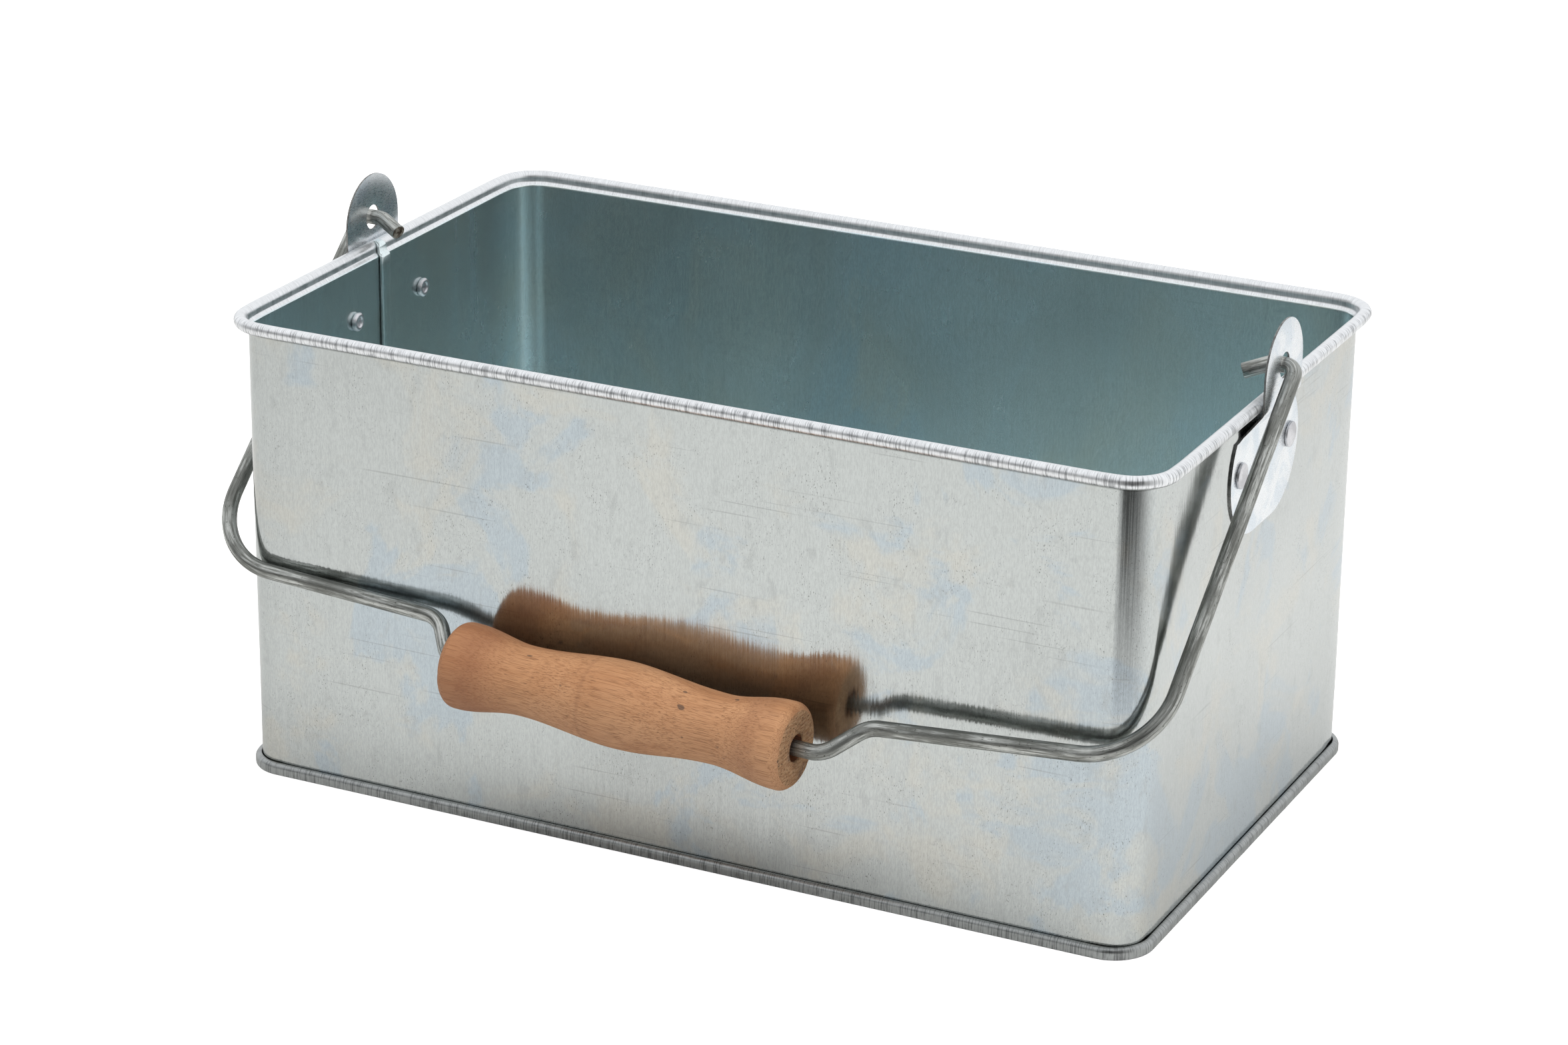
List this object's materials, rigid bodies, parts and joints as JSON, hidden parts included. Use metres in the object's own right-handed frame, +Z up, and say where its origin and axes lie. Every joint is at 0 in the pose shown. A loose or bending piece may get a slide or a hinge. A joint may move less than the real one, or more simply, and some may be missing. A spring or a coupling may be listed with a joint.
{
  "type": "florist bucket",
  "caption": "Low rectangular galvanised bucket with a wired rim, a hemmed base, riveted ears and a swinging wire bail that carries a turned wooden grip.",
  "frame": {"origin": "centre of the flat underside, on the surface the bucket stands on", "axes": "+X along the length, -Y is the front where the bail rests, +Z up"},
  "size_m": [0.3197, 0.2115, 0.1675],
  "materials": {
    "galvanised_sheet": "galvanised, passivated, satin, mottled",
    "galvanised_base": "galvanised, satin, crimped",
    "ear_sheet": "zinc plated, satin",
    "rivet_steel": "zinc plated, semi-bright",
    "wire_steel": "galvanised wire, dull, drawn along its length",
    "grip_wood": "turned hardwood, oiled, matt"
  },
  "bodies": {
    "bucket": {"wall": "galvanised_sheet", "rim_wire": "wire_steel", "base_pan": "galvanised_base", "ear_left": "ear_sheet", "ear_right": "ear_sheet", "rivet_left_front": "rivet_steel", "rivet_left_rear": "rivet_steel", "rivet_right_front": "rivet_steel", "rivet_right_rear": "rivet_steel"},
    "bail": {"bail": "wire_steel"},
    "grip": {"grip": "grip_wood"}
  },
  "joints": [
    {"name": "bail_swing", "type": "hinge", "parent": "bucket", "child": "bail", "pos_m": [0, 0, 0.1536], "axis": [-1, 0, 0], "range_deg": [0, 266.4]},
    {"name": "grip_spin", "type": "hinge", "parent": "bail", "child": "grip", "pos_m": [-0.00685, -0.10461, 0.05536], "axis": [0.9993, -0.0269, -0.0253], "continuous": true}
  ]
}
